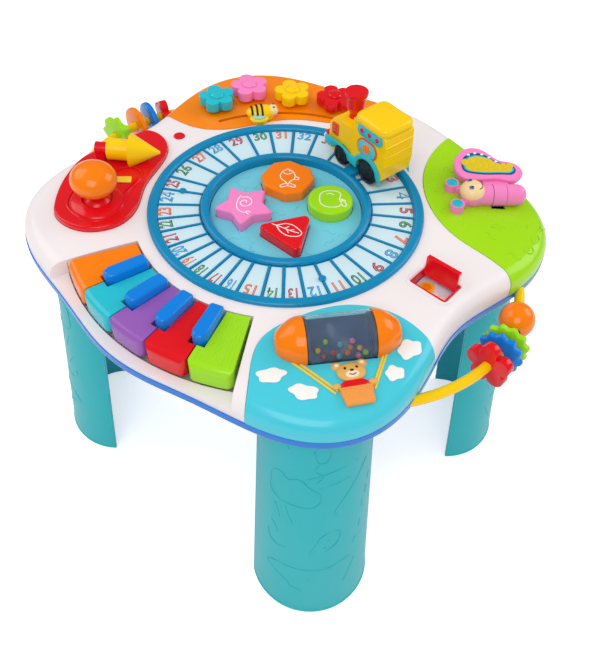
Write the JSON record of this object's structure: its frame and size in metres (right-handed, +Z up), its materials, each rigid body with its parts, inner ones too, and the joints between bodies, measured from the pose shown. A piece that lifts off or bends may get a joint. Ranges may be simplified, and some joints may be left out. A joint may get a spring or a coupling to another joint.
{
  "type": "activity table",
  "caption": "Toy activity table on four half pipe legs with a round number track and train, small piano, shape buttons, spinning drum, bead bars and corner toys.",
  "frame": {"origin": "on the floor under the middle of the round track", "axes": "+Z up, the piano faces -Y, the bead bars are at +X and -X"},
  "size_m": [0.4984, 0.4198, 0.391],
  "materials": {
    "blue_plastic": "gloss",
    "blue_shell": "gloss",
    "board": "matte",
    "cell_metal": "satin",
    "clear_plastic": "clear",
    "dark_plastic": "matte",
    "disc_plastic": "grained",
    "garden_plastic": "gloss",
    "green_plastic": "gloss",
    "leg_plastic": "satin",
    "meadow_plastic": "gloss",
    "orange_plastic": "gloss",
    "pad_rubber": "matte",
    "pink_plastic": "gloss",
    "purple_plastic": "gloss",
    "red_plastic": "gloss",
    "screw_steel": "brushed",
    "sky_plastic": "gloss",
    "teal_plastic": "gloss",
    "track_plastic": "gloss",
    "white_shell": "satin",
    "yellow_plastic": "gloss"
  },
  "bodies": {
    "table": {"base_shell": "blue_shell", "top_shell": "white_shell", "sky_cover": "sky_plastic", "meadow_cover": "meadow_plastic", "garden_cover": "garden_plastic", "gear_cover": "red_plastic", "front_right_leg": "leg_plastic", "back_right_leg": "leg_plastic", "back_left_leg": "leg_plastic", "front_left_leg": "leg_plastic", "track_tray": "track_plastic", "centre_disc": "disc_plastic", "contact_pads": "pad_rubber", "circuit_board": "board", "speaker": "dark_plastic", "battery_door": "blue_shell", "battery_cells": "cell_metal", "case_screws": "screw_steel", "key_frame": "white_shell", "balloon_caps": "orange_plastic", "balloon_basket": "yellow_plastic", "butterfly_body": "pink_plastic", "peek_frame": "red_plastic", "indicator_lens": "red_plastic", "bead_bars": "yellow_plastic"},
    "train": {"carrier_ring": "track_plastic", "train_body": "yellow_plastic"},
    "chimney": {"train_chimney": "red_plastic"},
    "front_wheels": {"train_front_wheels": "dark_plastic"},
    "rear_wheels": {"train_rear_wheels": "dark_plastic"},
    "drum": {"drum_shell": "clear_plastic", "drum_filling": "dark_plastic"},
    "roller": {"butterfly_roller": "pink_plastic"},
    "wing": {"butterfly_wing": "pink_plastic"},
    "lid": {"peek_lid": "red_plastic"},
    "lever": {"gear_lever": "red_plastic", "gear_knob": "orange_plastic"},
    "rocket": {"rocket_spinner": "yellow_plastic"},
    "bee": {"bee_slider": "yellow_plastic"},
    "right_discs": {"right_disc_beads": "blue_plastic"},
    "right_ball": {"right_ball_bead": "orange_plastic"},
    "left_bead_group": {"left_beads": "green_plastic"},
    "switch": {"power_switch": "white_shell"},
    "star_button": {"star_button": "pink_plastic"},
    "round_button": {"round_button": "green_plastic"},
    "triangle_button": {"triangle_button": "red_plastic"},
    "octagon_button": {"octagon_button": "orange_plastic"},
    "orange_key": {"orange_key": "orange_plastic"},
    "teal_key": {"teal_key": "teal_plastic"},
    "purple_key": {"purple_key": "purple_plastic"},
    "red_key": {"red_key": "red_plastic"},
    "green_key": {"green_key": "green_plastic"},
    "blue_key_1": {"blue_key_1": "blue_plastic"},
    "blue_key_2": {"blue_key_2": "blue_plastic"},
    "blue_key_3": {"blue_key_3": "blue_plastic"},
    "blue_key_4": {"blue_key_4": "blue_plastic"},
    "teal_flower": {"teal_flower": "teal_plastic"},
    "pink_flower": {"pink_flower": "pink_plastic"},
    "yellow_flower": {"yellow_flower": "yellow_plastic"},
    "red_flower": {"red_flower": "red_plastic"}
  },
  "joints": [
    {"name": "train_orbit", "type": "hinge", "parent": "table", "child": "train", "pos_m": [0, 0, 0.319], "axis": [0, 0, 1], "continuous": true},
    {"name": "chimney_press", "type": "slide", "parent": "train", "child": "chimney", "axis": [0, 0, -1], "range_m": [0, 0.0028], "stiffness_N_per_m": 200, "springref_m": -0.001},
    {"name": "rear_wheels_roll", "type": "hinge", "parent": "train", "child": "rear_wheels", "pos_m": [0.03634, 0.09181, 0.3331], "axis": [0.1822, 0.9833, 0], "continuous": true},
    {"name": "front_wheels_roll", "type": "hinge", "parent": "train", "child": "front_wheels", "pos_m": [0.00094, 0.09838, 0.3306], "axis": [0.1822, 0.9833, 0], "continuous": true},
    {"name": "star_button_press", "type": "slide", "parent": "table", "child": "star_button", "axis": [0, 0, -1], "range_m": [0, 0.0035], "stiffness_N_per_m": 300, "springref_m": -0.001},
    {"name": "round_button_press", "type": "slide", "parent": "table", "child": "round_button", "axis": [0, 0, -1], "range_m": [0, 0.0035], "stiffness_N_per_m": 300, "springref_m": -0.001},
    {"name": "triangle_button_press", "type": "slide", "parent": "table", "child": "triangle_button", "axis": [0, 0, -1], "range_m": [0, 0.0035], "stiffness_N_per_m": 300, "springref_m": -0.001},
    {"name": "octagon_button_press", "type": "slide", "parent": "table", "child": "octagon_button", "axis": [0, 0, -1], "range_m": [0, 0.0035], "stiffness_N_per_m": 300, "springref_m": -0.001},
    {"name": "orange_key_press", "type": "hinge", "parent": "table", "child": "orange_key", "pos_m": [-0.05183, -0.13414, 0.303], "axis": [0.9328, -0.3604, 0], "range_deg": [0, 4], "stiffness_Nm_per_rad": 0.35, "springref_deg": -1.72},
    {"name": "teal_key_press", "type": "hinge", "parent": "table", "child": "teal_key", "pos_m": [-0.02441, -0.14171, 0.303], "axis": [0.9855, -0.1698, 0], "range_deg": [0, 4], "stiffness_Nm_per_rad": 0.35, "springref_deg": -1.72},
    {"name": "purple_key_press", "type": "hinge", "parent": "table", "child": "purple_key", "pos_m": [0.00395, -0.14375, 0.303], "axis": [0.9996, 0.0275, 0], "range_deg": [0, 4], "stiffness_Nm_per_rad": 0.35, "springref_deg": -1.72},
    {"name": "red_key_press", "type": "hinge", "parent": "table", "child": "red_key", "pos_m": [0.03216, -0.14016, 0.303], "axis": [0.9747, 0.2237, 0], "range_deg": [0, 4], "stiffness_Nm_per_rad": 0.35, "springref_deg": -1.72},
    {"name": "green_key_press", "type": "hinge", "parent": "table", "child": "green_key", "pos_m": [0.05912, -0.13109, 0.303], "axis": [0.9116, 0.4111, 0], "range_deg": [0, 4], "stiffness_Nm_per_rad": 0.35, "springref_deg": -1.72},
    {"name": "blue_key_1_press", "type": "hinge", "parent": "table", "child": "blue_key_1", "pos_m": [-0.03831, -0.1386, 0.303], "axis": [0.9639, -0.2664, 0], "range_deg": [0, 3], "stiffness_Nm_per_rad": 0.35, "springref_deg": -1.72},
    {"name": "blue_key_2_press", "type": "hinge", "parent": "table", "child": "blue_key_2", "pos_m": [-0.01028, -0.14343, 0.303], "axis": [0.9974, -0.0715, 0], "range_deg": [0, 3], "stiffness_Nm_per_rad": 0.35, "springref_deg": -1.72},
    {"name": "blue_key_3_press", "type": "hinge", "parent": "table", "child": "blue_key_3", "pos_m": [0.01815, -0.14265, 0.303], "axis": [0.992, 0.1262, 0], "range_deg": [0, 3], "stiffness_Nm_per_rad": 0.35, "springref_deg": -1.72},
    {"name": "blue_key_4_press", "type": "hinge", "parent": "table", "child": "blue_key_4", "pos_m": [0.04587, -0.13629, 0.303], "axis": [0.9478, 0.319, 0], "range_deg": [0, 3], "stiffness_Nm_per_rad": 0.35, "springref_deg": -1.72},
    {"name": "teal_flower_press", "type": "slide", "parent": "table", "child": "teal_flower", "axis": [0, 0, -1], "range_m": [0, 0.003], "stiffness_N_per_m": 300, "springref_m": -0.001},
    {"name": "pink_flower_press", "type": "slide", "parent": "table", "child": "pink_flower", "axis": [0, 0, -1], "range_m": [0, 0.003], "stiffness_N_per_m": 300, "springref_m": -0.001},
    {"name": "yellow_flower_press", "type": "slide", "parent": "table", "child": "yellow_flower", "axis": [0, 0, -1], "range_m": [0, 0.003], "stiffness_N_per_m": 300, "springref_m": -0.001},
    {"name": "red_flower_press", "type": "slide", "parent": "table", "child": "red_flower", "axis": [0, 0, -1], "range_m": [0, 0.003], "stiffness_N_per_m": 300, "springref_m": -0.001},
    {"name": "drum_spin", "type": "hinge", "parent": "table", "child": "drum", "pos_m": [0.135, -0.092, 0.3205], "axis": [0.6428, 0.766, 0], "continuous": true},
    {"name": "roller_spin", "type": "hinge", "parent": "table", "child": "roller", "pos_m": [0.137, 0.14, 0.324], "axis": [0.7314, 0.682, 0], "continuous": true},
    {"name": "wing_lift", "type": "hinge", "parent": "table", "child": "wing", "pos_m": [0.12759, 0.15009, 0.324], "axis": [0.7314, 0.682, 0], "range_deg": [0, 45]},
    {"name": "lid_swing", "type": "hinge", "parent": "table", "child": "lid", "pos_m": [0.157, 0.0184, 0.3162], "axis": [1, 0, 0], "range_deg": [0, 90]},
    {"name": "lever_tilt", "type": "hinge", "parent": "table", "child": "lever", "pos_m": [-0.127, -0.112, 0.315], "axis": [1, 0, 0], "range_deg": [-25, 25]},
    {"name": "rocket_spin", "type": "hinge", "parent": "table", "child": "rocket", "pos_m": [-0.176, -0.071, 0.3345], "axis": [0.8141, 0.5807, 0], "continuous": true},
    {"name": "bee_slide", "type": "hinge", "parent": "table", "child": "bee", "pos_m": [0, 0, 0.319], "axis": [0, 0, 1], "range_deg": [-32, 16]},
    {"name": "right_discs_slide", "type": "hinge", "parent": "table", "child": "right_discs", "pos_m": [0.08698, 0, 0.2895], "axis": [0, 0, 1], "range_deg": [-14, 1.5]},
    {"name": "right_ball_slide", "type": "hinge", "parent": "table", "child": "right_ball", "pos_m": [0.08698, 0, 0.2895], "axis": [0, 0, 1], "range_deg": [-2, 3.5]},
    {"name": "left_beads_slide", "type": "hinge", "parent": "table", "child": "left_bead_group", "pos_m": [-0.08698, 0, 0.2895], "axis": [0, 0, 1], "range_deg": [-0.8, 17]},
    {"name": "switch_slide", "type": "slide", "parent": "table", "child": "switch", "axis": [1, 0, 0], "range_m": [-0.003, 0.003]}
  ],
  "couplings": [
    {"joint": "rear_wheels_roll", "follows": "train_orbit", "ratio": -7.752},
    {"joint": "front_wheels_roll", "follows": "train_orbit", "ratio": -9.69}
  ]
}
